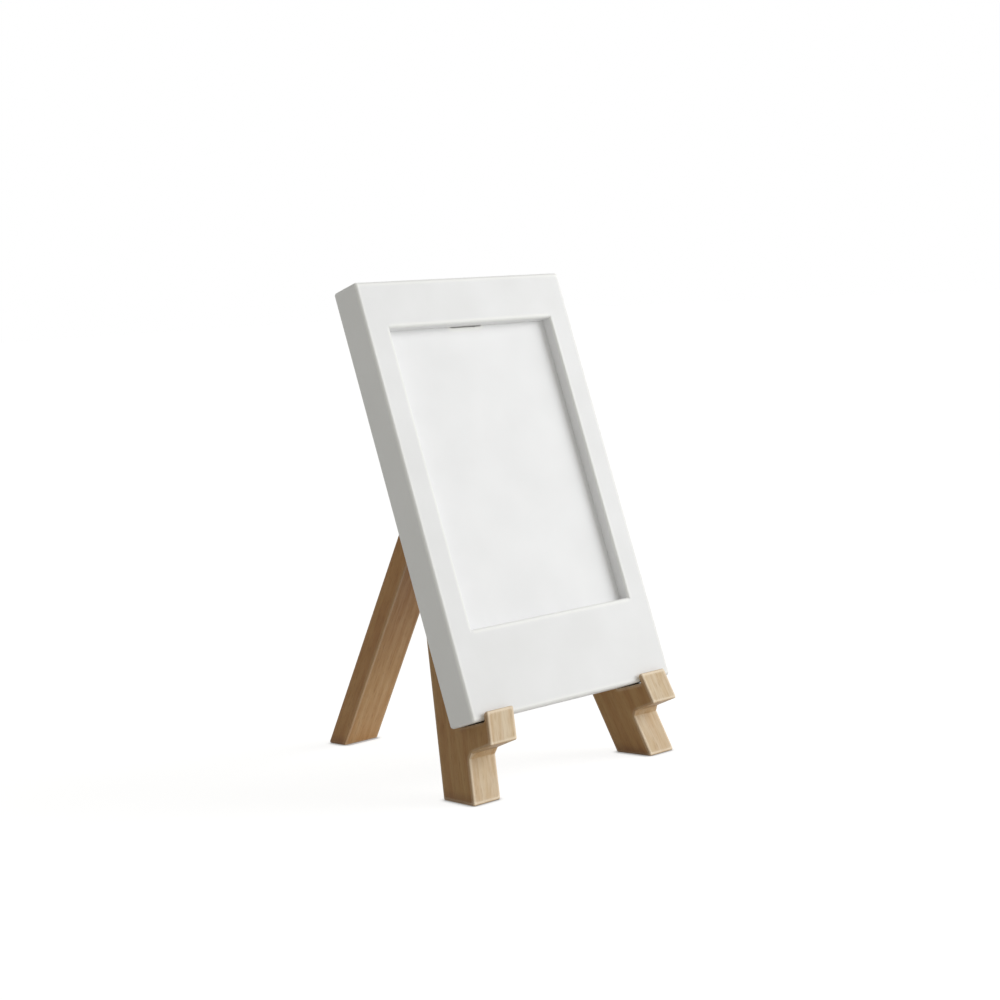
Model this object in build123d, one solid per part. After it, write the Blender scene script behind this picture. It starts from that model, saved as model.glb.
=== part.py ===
from build123d import *
from math import cos, radians, sin, tan
import os

# A small folding tabletop easel of beech with a white picture frame for a mini instant print.
# Millimetres, degrees, +Z up. The easel faces -Y, stands on Z = 0, and the origin is the middle
# of its footprint box.
#
# The front half is drawn flat, in face space, and then leaned back:
#   X across, Y up along the front legs from the seat, Z out of their front faces.

# ------------------------------------------------------------------ driving dimensions

# Stance
front_lean = 17.5
rear_lean = 29.4
seat_height = 14.3

# Picture frame
frame_width = 58.2
frame_height = 89.6
frame_thickness = 7.05
side_border = 6.1
top_border = 9.9
bottom_border = 17.7
front_plate = 2.35
side_wall = 1.3
rear_panel_thickness = 2.0
rear_panel_ledge = 0.5
frame_edge_radius = 0.65
window_edge_radius = 0.6
finger_notch_width = 9.8
finger_notch_show = 0.25
finger_notch_radius = 1.0
thumb_cut_radius = 8.0

# Front legs
leg_board = 7.2
leg_splay = 11.7
seat_half_width = 26.5
leg_back_depth = 7.1
leg_top = 72.0
seat_fall = 0.35
lip_height = 1.5
lip_thickness = 1.2
lip_round = 0.7
hook_drop = 5.1
hook_fall = 0.5
hook_chamfer = 1.0
foot_front_depth = 1.7
wood_edge_radius = 0.4

# Head block between the tops of the front legs
block_height = 28.5
dowel_diameter = 3.0
dowel_top_margin = 5.0
dowel_spacing = 7.0

# Rear leg
rear_leg_width = 9.9
rear_leg_thickness = 4.7
rear_leg_top_margin = 16.5

# Butt hinge
hinge_width = 8.0
leaf_length = 7.5
leaf_thickness = 0.5
knuckle_radius = 1.0
hinge_pin_radius = 0.45
middle_knuckle = 2.6
nail_radius = 0.55
nail_head_radius = 1.1
nail_head_height = 0.4
nail_grip = 3.0
nail_spacing = 4.4
nail_setback = 5.0

# Clearances
rest_gap = 0.02
seat_play = 0.15
insert_play = 0.15
print_play = 0.25
panel_fit = 0.03
glue_gap = 0.02
stop_gap = 0.03
knuckle_gap = 0.1
pin_tight = 0.01
pin_running = 0.04

# ------------------------------------------------------------------ places worked out from them

face_plane = Plane(
    origin=(0, 0, seat_height),
    x_dir=(1, 0, 0),
    z_dir=(0, -cos(radians(front_lean)), sin(radians(front_lean))),
)
floor_plane = Plane.XY
open_angle = front_lean + rear_lean
deep = 4 * frame_height
below_floor = -3 * seat_height

# The rear leg's front face meets the back of the head block at rear_leg_meets, and the hinge lies
# in the corner between the two, as far from one as from the other.
block_bottom = leg_top - block_height
dowel_heights = (leg_top - dowel_top_margin - dowel_spacing, leg_top - dowel_top_margin)
rear_leg_meets = leg_top - rear_leg_top_margin
hinge_offset = knuckle_radius + knuckle_gap
hinge_y = rear_leg_meets - hinge_offset / tan(radians(open_angle / 2))
hinge_z = -leg_back_depth - hinge_offset
nail_rows = (-nail_spacing / 2, nail_spacing / 2)
half_hinge = hinge_width / 2
half_middle = middle_knuckle / 2
middle_span = [(-half_middle, half_middle)]
end_spans = [
    (-half_hinge, -half_middle - knuckle_gap),
    (half_middle + knuckle_gap, half_hinge),
]

window_width = frame_width - 2 * side_border
window_low = bottom_border
window_high = frame_height - top_border
slot_width = frame_width - 2 * side_wall


def place(part):
    """Lean a part drawn in face space back onto the stand."""
    return face_plane.location * part


def leaned(plane):
    """The same for a plane given in face space."""
    return Plane(face_plane.location * plane.location)


def named(part, name):
    part.label = name
    return part


def corner(sketch, y, z):
    """Corner of a profile nearest to the point (y, z)."""
    return sketch.vertices().sort_by_distance((0, y, z))[0]


# ------------------------------------------------------------------ front legs


def outer_face_x(y):
    """Half the width over the two front legs at height y."""
    return seat_half_width - y * tan(radians(leg_splay))


def inner_face_x(y):
    """Half the gap between the two front legs at height y."""
    return outer_face_x(y) - leg_board / cos(radians(leg_splay))


def wedge(half_width, low, high, play):
    """Outline across both legs, out to the faces that half_width gives, less the play."""
    outline = Polyline(
        (play - half_width(low), low),
        (half_width(low) - play, low),
        (half_width(high) - play, high),
        (play - half_width(high), high),
        close=True,
    )
    return make_face(outline)


def leg_profile():
    """Side view of a front leg: upright, seat falling to its lip, and the hook under the lip."""
    lip_back = rest_gap + frame_thickness + seat_play
    lip_front = lip_back + lip_thickness
    seat_low = -rest_gap - seat_fall
    hook_root = -hook_drop - hook_fall
    outline = Polyline(
        (below_floor, -leg_back_depth),
        (leg_top, -leg_back_depth),
        (leg_top, 0),
        (-rest_gap, 0),
        (seat_low, lip_back),
        (lip_height, lip_back),
        (lip_height, lip_front),
        (-hook_drop, lip_front),
        (hook_root, foot_front_depth),
        (below_floor, foot_front_depth),
        close=True,
    )
    profile = Plane.YZ * make_face(outline)
    profile = fillet(corner(profile, lip_height, lip_back), lip_round)
    return chamfer(corner(profile, hook_root, foot_front_depth), hook_chamfer)


def leg_strip():
    """Front view of the left leg's board, leaning in towards the head block."""
    outline = Polyline(
        (-outer_face_x(below_floor), below_floor),
        (-inner_face_x(below_floor), below_floor),
        (-inner_face_x(leg_top), leg_top),
        (-outer_face_x(leg_top), leg_top),
        close=True,
    )
    return extrude(make_face(outline), amount=deep / 2, both=True)


def dowel_rods(radius):
    """The two dowels that cross both legs and the head block."""
    rods = []
    for height in dowel_heights:
        middle = Location((0, height, -leg_back_depth / 2), (0, 90, 0))
        rods.append(middle * Cylinder(radius, 2 * seat_half_width))
    return rods


def make_left_leg():
    leg = extrude(leg_profile(), amount=deep / 2, both=True) & leg_strip()
    leg = split(place(leg), bisect_by=floor_plane, keep=Keep.TOP)
    leg = fillet(leg.edges().filter_by(GeomType.LINE), wood_edge_radius)
    for rod in dowel_rods(dowel_diameter / 2 + glue_gap):
        leg -= place(rod)
    return leg


# ------------------------------------------------------------------ hinge

# Along the open rear leg: X across, Y up the leg from the corner with the head block, Z out of
# its front face.
leg_direction = (0, cos(radians(open_angle)), sin(radians(open_angle)))
rear_leg_plane = leaned(
    Plane(
        origin=(0, rear_leg_meets, -leg_back_depth),
        x_dir=(1, 0, 0),
        z_dir=(0, -leg_direction[2], leg_direction[1]),
    )
)

# Each leaf is drawn with X along the hinge pin, Y out along the leaf and Z towards its wood.
hinge_axis = (0, hinge_y, hinge_z)
fixed_leaf_plane = leaned(Plane(origin=hinge_axis, x_dir=(-1, 0, 0), z_dir=(0, 0, 1)))
moving_leaf_plane = leaned(
    Plane(origin=hinge_axis, x_dir=(1, 0, 0), z_dir=(0, leg_direction[2], -leg_direction[1]))
)


def knuckle(start, end, radius):
    """Part of a cylinder about the hinge pin, from start to end along it."""
    middle = Location(((start + end) / 2, 0, 0), (0, 90, 0))
    return middle * Cylinder(radius, end - start)


def make_leaf(own_spans, other_spans, bore_radius):
    """Hinge leaf with its own knuckles, cut clear of the other leaf's knuckles."""
    leaf = Pos(0, 0, hinge_offset) * Box(
        hinge_width,
        leaf_length,
        leaf_thickness,
        align=(Align.CENTER, Align.MIN, Align.MAX),
    )
    outer_corners = leaf.edges().filter_by(Axis.Z).sort_by(Axis.Y)[-2:]
    leaf = fillet(outer_corners, leaf_thickness)
    for start, end in own_spans:
        leaf += knuckle(start, end, knuckle_radius)
    for start, end in other_spans:
        leaf -= knuckle(start - knuckle_gap, end + knuckle_gap, hinge_offset + knuckle_gap)
    leaf -= knuckle(-hinge_width, hinge_width, bore_radius)
    for x in nail_rows:
        leaf -= Pos(x, nail_setback, hinge_offset) * Cylinder(nail_radius + glue_gap, 2 * hinge_offset)
    return leaf


def make_nail():
    """Round-headed nail that holds a leaf, with its tip towards the wood."""
    head_top = hinge_offset - leaf_thickness
    head = Pos(0, 0, head_top) * Cylinder(
        nail_head_radius, nail_head_height, align=(Align.CENTER, Align.CENTER, Align.MAX)
    )
    head = fillet(head.edges().sort_by(Axis.Z)[0], nail_head_height / 2)
    shank = Pos(0, 0, head_top) * Cylinder(
        nail_radius,
        leaf_thickness + nail_grip,
        align=(Align.CENTER, Align.CENTER, Align.MIN),
    )
    shank = chamfer(shank.edges().sort_by(Axis.Z)[-1], nail_radius / 2)
    return head + shank


def make_nails(leaf_plane):
    """The pair of nails of one leaf."""
    nail = make_nail()
    return Compound(
        children=[leaf_plane.location * Pos(x, nail_setback, 0) * nail for x in nail_rows]
    )


def nail_holes(leaf_plane):
    """Holes in the wood under one leaf."""
    hole = Pos(0, 0, hinge_offset) * Cylinder(
        nail_radius + glue_gap,
        2 * (nail_grip + glue_gap),
    )
    return [leaf_plane.location * Pos(x, nail_setback, 0) * hole for x in nail_rows]


def make_fixed_leaf():
    """Leaf on the back of the head block, with the two end knuckles that grip the pin."""
    leaf = make_leaf(end_spans, middle_span, hinge_pin_radius + pin_tight)
    return fixed_leaf_plane.location * leaf


def make_moving_leaf():
    """Leaf on the front of the rear leg, with the middle knuckle that turns on the pin."""
    leaf = make_leaf(middle_span, end_spans, hinge_pin_radius + pin_running)
    return moving_leaf_plane.location * leaf


def make_hinge_pin():
    pin = knuckle(-half_hinge, half_hinge, hinge_pin_radius)
    return fixed_leaf_plane.location * fillet(pin.edges(), hinge_pin_radius / 3)


# ------------------------------------------------------------------ head block and dowels


def make_head_block():
    """Wedge that joins the tops of the front legs and carries the hinge on its back."""
    outline = wedge(inner_face_x, block_bottom, leg_top, glue_gap)
    block = place(extrude(outline, amount=-leg_back_depth))
    for rod in dowel_rods(dowel_diameter / 2 + glue_gap):
        block -= place(rod)
    return block - nail_holes(fixed_leaf_plane)


def make_head_dowels():
    """Dowels trimmed flush with the outer faces of the legs."""
    outline = wedge(outer_face_x, block_bottom, leg_top, 0)
    between = extrude(outline, amount=deep / 2, both=True)
    return Compound(children=[place(rod & between) for rod in dowel_rods(dowel_diameter / 2)])


# ------------------------------------------------------------------ rear leg

def make_rear_leg():
    """Prop that lies against the back of the head block when it is open."""
    bar = Box(
        rear_leg_width,
        deep,
        rear_leg_thickness,
        align=(Align.CENTER, Align.CENTER, Align.MAX),
    )
    stop = face_plane.offset(-leg_back_depth - stop_gap)
    leg = split(rear_leg_plane.location * bar, bisect_by=stop, keep=Keep.BOTTOM)
    leg = split(leg, bisect_by=floor_plane, keep=Keep.TOP)
    leg = fillet(leg.edges(), wood_edge_radius)
    return leg - nail_holes(moving_leaf_plane)


# ------------------------------------------------------------------ picture frame

# In face space too: the frame stands on the seat at Y = 0 and its back is at Z = rest_gap.
def block_between(width, low, high, back, front):
    """Box in face space, centred across, with its back and front measured from the frame's back."""
    box = Box(width, high - low, front - back, align=(Align.CENTER, Align.MIN, Align.MIN))
    return Pos(0, low, rest_gap + back) * box


def frame_body():
    """Outer shape of the whole frame."""
    body = block_between(frame_width, 0, frame_height, 0, frame_thickness)
    return fillet(body.edges(), frame_edge_radius)


def make_front_shell():
    """Moulding with the window, open at the back for its panel and at the top for the insert."""
    over_top = frame_height + frame_thickness
    shell = frame_body()
    shell -= block_between(window_width, window_low, window_high, 0, 2 * frame_thickness)
    front_face = shell.faces().sort_by(Axis.Z)[-1]
    shell = fillet(front_face.inner_wires()[0].edges(), window_edge_radius)
    shell -= block_between(slot_width, side_wall, over_top, 0, frame_thickness - front_plate)
    ledge_width = slot_width + 2 * rear_panel_ledge
    ledge_low = side_wall - rear_panel_ledge
    shell -= block_between(ledge_width, ledge_low, over_top, -side_wall, rear_panel_thickness)
    return place(shell)


def make_rear_panel():
    """Back of the frame, glued on the ledge inside the shell, with a thumb cut at its top edge."""
    width = slot_width + 2 * (rear_panel_ledge - panel_fit)
    low = side_wall - rear_panel_ledge + panel_fit
    panel = block_between(width, low, frame_height, 0, rear_panel_thickness) & frame_body()
    thumb_cut = Pos(0, frame_height, 0) * Cylinder(thumb_cut_radius, deep)
    return place(panel - thumb_cut)


def make_insert_board():
    """White board behind the window, that slides out at the top with the print."""
    top = frame_height - frame_edge_radius
    back = rear_panel_thickness + print_play
    front = frame_thickness - front_plate - panel_fit
    board = block_between(slot_width - 2 * insert_play, side_wall + rest_gap, top, back, front)
    notch_low = window_high - finger_notch_show
    notch = Pos(0, notch_low, 0) * Box(
        finger_notch_width,
        frame_height,
        deep,
        align=(Align.CENTER, Align.MIN, Align.CENTER),
    )
    notch = fillet(notch.edges().filter_by(Axis.Z).sort_by(Axis.Y)[:2], finger_notch_radius)
    return place(board - notch)


# ------------------------------------------------------------------ all the pieces

left_leg = make_left_leg()
pieces = [
    named(left_leg, "left_front_leg"),
    named(mirror(left_leg, about=Plane.YZ), "right_front_leg"),
    named(make_head_block(), "head_block"),
    named(make_head_dowels(), "head_dowels"),
    named(make_rear_leg(), "rear_leg"),
    named(make_fixed_leaf(), "hinge_fixed_leaf"),
    named(make_moving_leaf(), "hinge_moving_leaf"),
    named(make_hinge_pin(), "hinge_pin"),
    named(make_nails(fixed_leaf_plane), "hinge_fixed_nails"),
    named(make_nails(moving_leaf_plane), "hinge_moving_nails"),
    named(make_front_shell(), "frame_shell"),
    named(make_rear_panel(), "frame_rear_panel"),
    named(make_insert_board(), "frame_insert"),
]

# The easel's footprint box is centred on the origin.
front_y = min(piece.bounding_box().min.Y for piece in pieces)
rear_y = max(piece.bounding_box().max.Y for piece in pieces)
to_origin = Pos(0, -(front_y + rear_y) / 2, 0)

os.makedirs("parts", exist_ok=True)
for piece in pieces:
    export_step(to_origin * piece, f"parts/{piece.label}.step")
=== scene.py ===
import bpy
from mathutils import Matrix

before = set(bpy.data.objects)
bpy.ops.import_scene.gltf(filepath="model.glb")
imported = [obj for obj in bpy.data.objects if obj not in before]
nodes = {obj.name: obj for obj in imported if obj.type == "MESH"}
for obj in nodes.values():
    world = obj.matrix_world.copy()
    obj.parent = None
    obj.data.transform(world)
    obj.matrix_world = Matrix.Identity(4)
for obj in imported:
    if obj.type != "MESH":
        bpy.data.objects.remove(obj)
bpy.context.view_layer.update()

import math

import bpy
from mathutils import Matrix, Vector

# ---------------------------------------------------------------- front legs
# Two beech boards, cut to a hooked profile and leaned in towards each other at the top.
# The broad planed faces are darker than the sawn edges, partly from the clear oil that has soaked into them
# and partly as painted shade of the legs' sides.

front_lean = math.radians(17.5)
leg_splay = math.radians(11.7)
face_up = Vector((0, math.sin(front_lean), math.cos(front_lean)))
face_out = Vector((0, -math.cos(front_lean), math.sin(front_lean)))


def linear(colour):
    """An sRGB hex colour as the linear colour that a shader takes."""
    parts = [int(colour[i : i + 2], 16) / 255 for i in (1, 3, 5)]
    return [p / 12.92 if p <= 0.04045 else ((p + 0.055) / 1.055) ** 2.4 for p in parts] + [1]


def add(tree, kind, settings={}, links={}):
    """Add a shader node, set its properties and sockets, and link its inputs."""
    made = tree.nodes.new("ShaderNode" + kind)
    for name, value in settings.items():
        if isinstance(name, str) and hasattr(made, name):
            setattr(made, name, value)
        else:
            made.inputs[name].default_value = value
    for name, output in links.items():
        tree.links.new(output, made.inputs[name])
    return made


def new_finish(name):
    """A new material, with its node tree and the shader that the finish is built on."""
    material = bpy.data.materials.new(name)
    material.use_nodes = True
    return material, material.node_tree, material.node_tree.nodes["Principled BSDF"]


def feed(tree, shader, colour, rough, relief):
    """Give the shader its colour, its roughness and its relief."""
    for socket, output in (("Base Color", colour), ("Roughness", rough), ("Normal", relief)):
        tree.links.new(output, shader.inputs[socket])


def wear_and_highlight_at_edges(tree, reach):
    """1 on the outer corners of a piece and 0 on its faces, fading over the given reach."""
    # The view inwards is open behind a flat face, and other faces close it in at a corner.
    flat_face, outer_corner = 0.98, 0.70
    inside = add(tree, "AmbientOcclusion", {"inside": True, "only_local": True, "samples": 12,
                                            "Distance": reach}).outputs["AO"]
    return add(tree, "MapRange", {"interpolation_type": "SMOOTHSTEP", "From Min": flat_face,
                                  "From Max": outer_corner}, {"Value": inside}).outputs[0]


def grain_turn(along, across):
    """Turn that brings a board's grain to Z and its thickness to X."""
    along = along.normalized()
    across = (across - along * across.dot(along)).normalized()
    return Matrix((across, along.cross(across), along)).to_euler()


def oiled_beech(name, along, across, pith, planed_and_shaded, sawn, frame_shadow_share=0.0, rub_and_highlight_share=0.95):
    """Clear-oiled beech: soft growth rings, ray flecks, short pores and pale corners, partly rubbed and
    partly a painted highlight.

    The colours given for the planed and the sawn faces are those of the broad and the narrow faces, and the
    planed one is darker partly as painted shade. The head darkening is how much a painted shadow of the frame
    darkens the narrow faces towards the head, and the rub share is how much the corners are rubbed and
    painted with a highlight.
    """
    ring_spacing = 0.0024
    # Ray flecks are about 0.15 mm wide and pores 0.1 mm; both are drawn coarser so that they show.
    fleck_width, fleck_length = 0.0007, 0.0026
    pore_width, pore_length = 0.0003, 0.0035
    streak_width, streak_length = 0.0016, 0.022
    mottle_size = 0.0045
    # Heights above the table of the painted shade on the feet, of the painted shadow of the frame and of the
    # unrubbed head, and how far the rubbing and the painted highlight reach in from a corner.
    foot_shade_top = 0.0024
    frame_shadow_low, frame_shadow_high = 0.012, 0.052
    head_low, head_high = 0.060, 0.066
    rub_and_highlight_reach = 0.0009

    material, tree, shader = new_finish(name)
    place = add(tree, "TexCoord")
    turn = grain_turn(along, across)
    grain = add(tree, "Mapping", {"vector_type": "POINT", "Rotation": turn, "Location": pith},
                {"Vector": place.outputs["Object"]}).outputs[0]
    rings = add(tree, "TexWave", {"wave_type": "RINGS", "rings_direction": "Z", "wave_profile": "SIN",
                                  "Scale": math.pi / 10 / ring_spacing, "Distortion": 2.6,
                                  "Detail": 3.0, "Detail Scale": 0.35},
                {"Vector": grain}).outputs["Fac"]
    flecks = add(tree, "VectorMath", {"operation": "MULTIPLY",
                                      1: (1 / fleck_width, 1 / fleck_width, 1 / fleck_length)},
                 {0: grain}).outputs[0]
    flecks = add(tree, "TexVoronoi", {"Scale": 1.0, "Randomness": 1.0},
                 {"Vector": flecks}).outputs["Distance"]
    clouds = []
    for width, length, detail in (
        (pore_width, pore_length, 3.0),
        (streak_width, streak_length, 2.0),
        (mottle_size, 2 * mottle_size, 4.0),
    ):
        cloud = add(tree, "VectorMath", {"operation": "MULTIPLY", 1: (1 / width, 1 / width, 1 / length)},
                    {0: grain}).outputs[0]
        cloud = add(tree, "TexNoise", {"Scale": 1.0, "Detail": detail, "Roughness": 0.55},
                    {"Vector": cloud}).outputs["Fac"]
        clouds.append(cloud)
    pores, streaks, mottle = clouds

    turned = add(tree, "VectorRotate", {"rotation_type": "EULER_XYZ", "Rotation": turn},
                 {"Vector": place.outputs["Normal"]}).outputs[0]
    turned = add(tree, "SeparateXYZ", {}, {0: turned})

    def facing(way, low, high):
        """1 on the faces that look along that way of the board, fading to 0 as they turn from it."""
        size = add(tree, "Math", {"operation": "ABSOLUTE"}, {0: turned.outputs[way]}).outputs[0]
        return add(tree, "MapRange", {"interpolation_type": "SMOOTHSTEP", "From Min": low,
                                      "From Max": high}, {"Value": size}).outputs[0]

    broad = facing("X", 0.55, 0.95)
    ends = facing("Z", 0.55, 0.95)
    narrow = add(tree, "Math", {"operation": "SUBTRACT", 0: 1.0}, {1: broad}).outputs[0]
    height = add(tree, "SeparateXYZ", {}, {0: place.outputs["Object"]}).outputs["Z"]
    rise = add(tree, "SeparateXYZ", {}, {0: place.outputs["Normal"]}).outputs["Z"]

    # Painted shade: faces that look down, such as the undersides of the hooks, are browner, the broad sides
    # of the feet darken towards the table, and the sawn faces darken towards the head as a painted shadow of
    # the frame.
    parts = []
    for value, low, high, share, side in (
        (rise, -0.10, -0.45, 1.0, facing("Z", 0.25, 0.60)),
        (height, foot_shade_top, 0.0, 0.7, broad),
        (height, frame_shadow_low, frame_shadow_high, frame_shadow_share, narrow),
    ):
        mask = add(tree, "MapRange", {"From Min": low, "From Max": high, "To Max": share},
                   {"Value": value}).outputs[0]
        parts.append(add(tree, "Math", {"operation": "MULTIPLY"}, {0: mask, 1: side}).outputs[0])
    painted_underside_shade, painted_foot_shade, painted_frame_shadow = parts

    # Each of these painted shades darkens the wood, and end grain, which drinks the oil, stains it.
    stains_and_painted_shade = [(painted_underside_shade, "#FFF5E8"), (ends, "#D8D4D0"), (painted_foot_shade, "#B09070"), (painted_frame_shadow, "#B39A80")]
    for pattern, low, high, share, tint in (
        (rings, 0.2, 0.9, 0.30, "#E6CFA2"),
        (streaks, 0.42, 0.66, 0.40, "#DDBF90"),
        (pores, 0.50, 0.72, 0.34, "#CDAD7E"),
        (flecks, 0.30, 0.10, 0.20, "#A88352"),
        (mottle, 0.35, 0.65, 0.45, "#E2CFA6"),
    ):
        mask = add(tree, "MapRange", {"From Min": low, "From Max": high, "To Max": share},
                   {"Value": pattern}).outputs[0]
        stains_and_painted_shade.append((mask, tint))
    colour = add(tree, "Mix", {"data_type": "RGBA", 6: linear(sawn), 7: linear(planed_and_shaded)},
                 {0: broad}).outputs[2]
    for mask, tint in stains_and_painted_shade:
        colour = add(tree, "Mix", {"data_type": "RGBA", "blend_type": "MULTIPLY", 7: linear(tint)},
                     {0: mask, 6: colour}).outputs[2]

    # The corners are made paler, partly as rubbing and partly as a painted highlight: unevenly, less on their
    # darker broad side, at end grain and under the hooks, and hardly at the head.
    rub_and_painted_highlight = wear_and_highlight_at_edges(tree, rub_and_highlight_reach)
    for value, low, high, start, end in (
        (mottle, 0.10, 0.50, 0.0, rub_and_highlight_share),
        (height, head_high, head_low, 0.0, 1.0),
        (broad, 0.0, 1.0, 1.0, 0.3),
        (ends, 0.0, 1.0, 1.0, 0.3),
        (painted_underside_shade, 0.0, 1.0, 1.0, 0.3),
    ):
        mask = add(tree, "MapRange", {"From Min": low, "From Max": high, "To Min": start,
                                      "To Max": end}, {"Value": value}).outputs[0]
        rub_and_painted_highlight = add(tree, "Math", {"operation": "MULTIPLY"}, {0: rub_and_painted_highlight, 1: mask}).outputs[0]
    colour = add(tree, "Mix", {"data_type": "RGBA", 7: linear("#F6E4CA")},
                 {0: rub_and_painted_highlight, 6: colour}).outputs[2]

    rough = add(tree, "MapRange", {"To Min": 0.46, "To Max": 0.62}, {"Value": pores}).outputs[0]
    relief = add(tree, "Math", {"operation": "MULTIPLY_ADD", 1: -0.6}, {0: flecks, 2: pores}).outputs[0]
    relief = add(tree, "Bump", {"Strength": 0.5, "Distance": 0.00005}, {"Height": relief}).outputs[0]
    feed(tree, shader, colour, rough, relief)
    shader.inputs["IOR"].default_value = 1.47
    return material


def dress(name, material):
    """Give a CAD piece its finish."""
    slots = nodes[name].data.materials
    slots.clear()
    slots.append(material)


for side, name in ((1, "left_front_leg"), (-1, "right_front_leg")):
    along = face_up * math.cos(leg_splay) + Vector((side * math.sin(leg_splay), 0, 0))
    dress(name, oiled_beech("oiled_beech_" + name, along, Vector((1, 0, 0)),
                            (0.031, 0.022 * side, 0.004 * side), "#A88453", "#DECCB0"))

# ---------------------------------------------------------------- head block and dowels
# A beech wedge glued between the tops of the legs, with its grain upright.
# Two birch dowels cross it and are sanded flush, so their end grain shows as small discs.

dress("head_block", oiled_beech("oiled_beech_block", face_up, face_out, (0.028, 0.017, 0.009),
                                "#B8935C", "#C9AC7C"))


def dowel_birch():
    """Birch dowel: close rings in its end grain, darker where the oil has soaked in."""
    ring_spacing = 0.0009
    # The pores of the end grain are about 0.05 mm wide, and drawn at 0.25 mm so that they show.
    pore_size = 0.00025
    rings_from = (0, 0.0022, -0.0718)
    material, tree, shader = new_finish("birch_dowel")
    place = add(tree, "TexCoord").outputs["Object"]
    rings = add(tree, "Mapping", {"Location": rings_from}, {"Vector": place}).outputs[0]
    rings = add(tree, "TexWave", {"wave_type": "RINGS", "rings_direction": "X",
                                  "Scale": math.pi / 10 / ring_spacing, "Distortion": 3.0,
                                  "Detail": 3.0}, {"Vector": rings}).outputs["Fac"]
    pores = add(tree, "TexNoise", {"Scale": 1 / pore_size, "Detail": 3.0}, {"Vector": place}).outputs["Fac"]
    colour = add(tree, "Mix", {"data_type": "RGBA", 6: linear("#A07A4A"), 7: linear("#94703F")},
                 {0: rings}).outputs[2]
    colour = add(tree, "Mix", {"data_type": "RGBA", "blend_type": "MULTIPLY", 7: linear("#C8A880")},
                 {0: pores, 6: colour}).outputs[2]
    rough = add(tree, "MapRange", {"To Min": 0.5, "To Max": 0.7}, {"Value": pores}).outputs[0]
    relief = add(tree, "Bump", {"Strength": 0.4, "Distance": 0.00004}, {"Height": pores}).outputs[0]
    feed(tree, shader, colour, rough, relief)
    return material


dress("head_dowels", dowel_birch())

# ---------------------------------------------------------------- rear leg
# A single square-cut beech stick that props the easel, with the grain along it.
# Its top end is bevelled to bear on the head block and its foot is cut flat to the table.

rear_lean = math.radians(29.4)
rear_along = Vector((0, -math.sin(rear_lean), math.cos(rear_lean)))
# The rear leg's narrow faces carry a full painted shadow of the frame towards the head, and its corners a
# weaker rub and painted highlight.
dress("rear_leg", oiled_beech("oiled_beech_rear_leg", rear_along, Vector((1, 0, 0)),
                              (0.024, -0.027, 0.013), "#AC824E", "#CCA779", 1.0, 0.35))

# ---------------------------------------------------------------- butt hinge
# A miniature brass butt hinge: two stamped leaves with rolled knuckles, a wire pin and nails.
# Stamping leaves fine lines along the leaf, and handling has dulled the flats.


def pressed_brass(name, colour, dulled, line_width):
    """Pressed brass: fine drawn lines, a dulled skin and bright corners."""
    # The dulled clouds are about 2.4 mm across, and a drawn line is 20 times as long as wide.
    clouds_per_metre = 420.0
    line_stretch = 0.05
    rub_and_highlight_reach = 0.0003
    material, tree, shader = new_finish(name)
    place = add(tree, "TexCoord").outputs["Object"]
    lines = add(tree, "VectorMath", {"operation": "MULTIPLY",
                                     1: (line_stretch / line_width, 1 / line_width, 1 / line_width)},
                {0: place}).outputs[0]
    lines = add(tree, "TexNoise", {"Scale": 1.0, "Detail": 2.0}, {"Vector": lines}).outputs["Fac"]
    skin = add(tree, "TexNoise", {"Scale": clouds_per_metre, "Detail": 3.0}, {"Vector": place}).outputs["Fac"]
    skin = add(tree, "MapRange", {"From Min": 0.3, "From Max": 0.8}, {"Value": skin}).outputs[0]
    tone = add(tree, "Mix", {"data_type": "RGBA", 6: linear(colour), 7: linear(dulled)},
               {0: skin}).outputs[2]
    tone = add(tree, "Mix", {"data_type": "RGBA", 7: linear("#F2DC9E")},
               {0: wear_and_highlight_at_edges(tree, rub_and_highlight_reach), 6: tone}).outputs[2]
    rough = add(tree, "MapRange", {"To Min": 0.32, "To Max": 0.42}, {"Value": skin}).outputs[0]
    relief = add(tree, "Bump", {"Strength": 0.15, "Distance": 0.00001}, {"Height": lines}).outputs[0]
    feed(tree, shader, tone, rough, relief)
    shader.inputs["Metallic"].default_value = 1.0
    return material


leaf_brass = pressed_brass("pressed_brass", "#D2B06A", "#B8955A", 0.00008)
nail_brass = pressed_brass("plated_nail", "#DCC07C", "#BE9E62", 0.00015)
for name in ("hinge_fixed_leaf", "hinge_moving_leaf", "hinge_pin"):
    dress(name, leaf_brass)
for name in ("hinge_fixed_nails", "hinge_moving_nails"):
    dress(name, nail_brass)

# ---------------------------------------------------------------- picture frame
# A white moulded shell with a window, closed at the back by a panel glued on its ledge.
# The mould gives it a satin skin with a faint orange peel, and its front corners are painted paler as a
# highlight.


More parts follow.
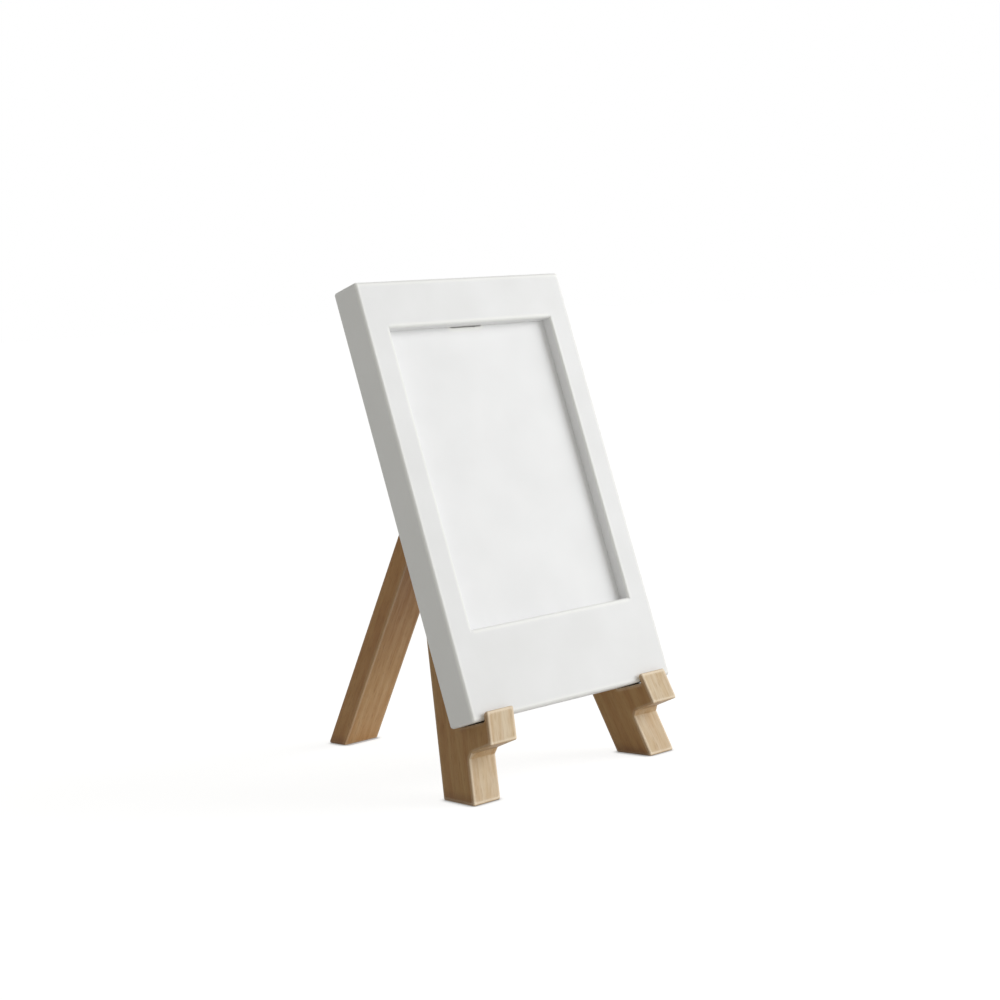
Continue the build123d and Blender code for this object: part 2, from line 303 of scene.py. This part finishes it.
def satin_moulding(name, colour, shade, peel_size, peel_height):
    """Satin white polystyrene moulding: faint peel, cloudy skin and a painted highlight on the front corners.
    """
    cloud_size = 0.009
    rub_and_highlight_reach = 0.0013
    material, tree, shader = new_finish(name)
    place = add(tree, "TexCoord")
    normal, place = place.outputs["Normal"], place.outputs["Object"]
    clouds = add(tree, "TexNoise", {"Scale": 1 / cloud_size, "Detail": 4.0}, {"Vector": place}).outputs["Fac"]
    peel = add(tree, "TexNoise", {"Scale": 1 / peel_size, "Detail": 2.0}, {"Vector": place}).outputs["Fac"]
    tone = add(tree, "Mix", {"data_type": "RGBA", 6: linear(colour), 7: linear(shade)},
               {0: clouds}).outputs[2]
    front = add(tree, "VectorMath", {"operation": "DOT_PRODUCT", 1: face_out}, {0: normal}).outputs["Value"]
    front = add(tree, "MapRange", {"From Min": 0.1, "From Max": 0.5}, {"Value": front}).outputs[0]
    # Painted highlight: corners that face the front are made paler.
    rub_and_painted_highlight = add(tree, "Math", {"operation": "MULTIPLY"},
                 {0: wear_and_highlight_at_edges(tree, rub_and_highlight_reach), 1: front}).outputs[0]
    tone = add(tree, "Mix", {"data_type": "RGBA", 7: linear("#FAFAF7")}, {0: rub_and_painted_highlight, 6: tone}).outputs[2]
    rough = add(tree, "MapRange", {"To Min": 0.40, "To Max": 0.56}, {"Value": clouds}).outputs[0]
    relief = add(tree, "Bump", {"Strength": 0.35, "Distance": peel_height}, {"Height": peel}).outputs[0]
    feed(tree, shader, tone, rough, relief)
    shader.inputs["IOR"].default_value = 1.55
    return material


dress("frame_shell", satin_moulding("satin_moulded_white", "#EFEFF0", "#EAEAEA", 0.0009, 0.00003))
dress("frame_rear_panel", satin_moulding("satin_moulded_white_back", "#ECECEA", "#E5E5E2", 0.0012, 0.00004))

# ---------------------------------------------------------------- insert board
# A matt white card-like board behind the window, that slides out at the top with the print.
# Its finger notch shows as a thin dark slit under the window's top edge.

dress("frame_insert", satin_moulding("matt_white_board", "#F3F3F4", "#EEEEEF", 0.0004, 0.00002))

# ---------------------------------------------------------------- table, backdrop and light
# A plain pale table under soft studio light. For the camera the table and the backdrop are
# white, and the table keeps the easel's shadow.

white = (1, 1, 1, 1)


def seen_directly(tree):
    """1 for what the camera, gloss or glass sees, and 0 for the light that falls on things."""
    path = add(tree, "LightPath")
    seen = add(tree, "Math", {"operation": "MAXIMUM"},
               {0: path.outputs["Is Camera Ray"], 1: path.outputs["Is Glossy Ray"]}).outputs[0]
    return add(tree, "Math", {"operation": "MAXIMUM"},
               {0: seen, 1: path.outputs["Is Transmission Ray"]}).outputs[0]


table_size = 12
just_below_feet = -0.00002
bpy.ops.mesh.primitive_plane_add(size=table_size, location=(0, 0, just_below_feet))
table = bpy.context.object
table.name = "table_top"
paint = bpy.data.materials.new("pale_matt_table")
paint.use_nodes = True
tree = paint.node_tree
tree.nodes.clear()
matt = add(tree, "BsdfDiffuse", {"Color": (0.85, 0.85, 0.84, 1)})
faint = add(tree, "BsdfDiffuse", {"Color": (0.30, 0.30, 0.30, 1)})
# The camera sees a faint paint under a white glow, which fades close to the feet as a painted contact shadow.
foot_shade_reach = 0.0015
glow_with_painted_contact_shadow = add(tree, "AmbientOcclusion", {"samples": 12, "Distance": foot_shade_reach}).outputs["AO"]
glow_with_painted_contact_shadow = add(tree, "MapRange", {"From Min": 0.45, "From Max": 0.95, "To Min": 0.30, "To Max": 0.87},
               {"Value": glow_with_painted_contact_shadow}).outputs[0]
glow = add(tree, "Emission", {"Color": white}, {"Strength": glow_with_painted_contact_shadow})
lifted = add(tree, "AddShader", {}, {0: faint.outputs[0], 1: glow.outputs[0]})
shown = add(tree, "MixShader", {}, {0: seen_directly(tree), 1: matt.outputs[0], 2: lifted.outputs[0]})
add(tree, "OutputMaterial", {}, {"Surface": shown.outputs[0]})
table.data.materials.append(paint)

world = bpy.data.worlds.new("soft_studio")
bpy.context.scene.world = world
world.use_nodes = True
tree = world.node_tree
tree.nodes.clear()
room = add(tree, "Background", {"Color": (1.0, 0.99, 0.915, 1), "Strength": 0.37})
backdrop = add(tree, "Background", {"Color": white, "Strength": 1.0})
shown = add(tree, "MixShader", {}, {0: seen_directly(tree), 1: room.outputs[0], 2: backdrop.outputs[0]})
add(tree, "OutputWorld", {}, {"Surface": shown.outputs[0]})

easel_middle = Vector((0, 0, 0.05))


def lamp(name, kind, energy, towards, size, distance=1.0):
    """A white lamp that shines on the easel from the given direction."""
    light = bpy.data.lights.new(name, kind)
    light.energy = energy
    light.color = (0.97, 0.98, 1.0)
    if kind == "SUN":
        light.angle = size
    else:
        light.shape = "DISK"
        light.size = size
    holder = bpy.data.objects.new(name, light)
    bpy.context.scene.collection.objects.link(holder)
    holder.location = distance * towards.normalized() + easel_middle
    holder.rotation_euler = towards.to_track_quat("Z", "Y").to_euler()


lamp("key", "SUN", 1.125, Vector((0.641, -0.594, 0.485)), size=math.radians(45))
lamp("near_softbox", "AREA", 0.55, Vector((0.75, -0.60, 0.28)), size=0.4, distance=0.45)

# ---------------------------------------------------------------- camera
# A long lens from the front left, level with the top of the frame and turned down a little.

camera = bpy.data.cameras.new("camera")
camera.sensor_width = 36
camera.lens = 78.80
camera.clip_start = 0.01
camera_object = bpy.data.objects.new("camera", camera)
bpy.context.scene.collection.objects.link(camera_object)
bpy.context.scene.camera = camera_object
heading, down, roll = (math.radians(angle) for angle in (44.853, 5.561, -3.048))
forward = Vector((math.sin(heading) * math.cos(down), math.cos(heading) * math.cos(down), -math.sin(down)))
level = Vector((math.cos(heading), -math.sin(heading), 0))
upright = level.cross(forward)
right = level * math.cos(roll) + upright * math.sin(roll)
top = upright * math.cos(roll) - level * math.sin(roll)
placed = Matrix((right, top, -forward)).transposed().to_4x4()
placed.translation = Vector((-0.31617, -0.33358, 0.09949))
camera_object.matrix_world = placed

bpy.context.scene.view_settings.view_transform = "Standard"
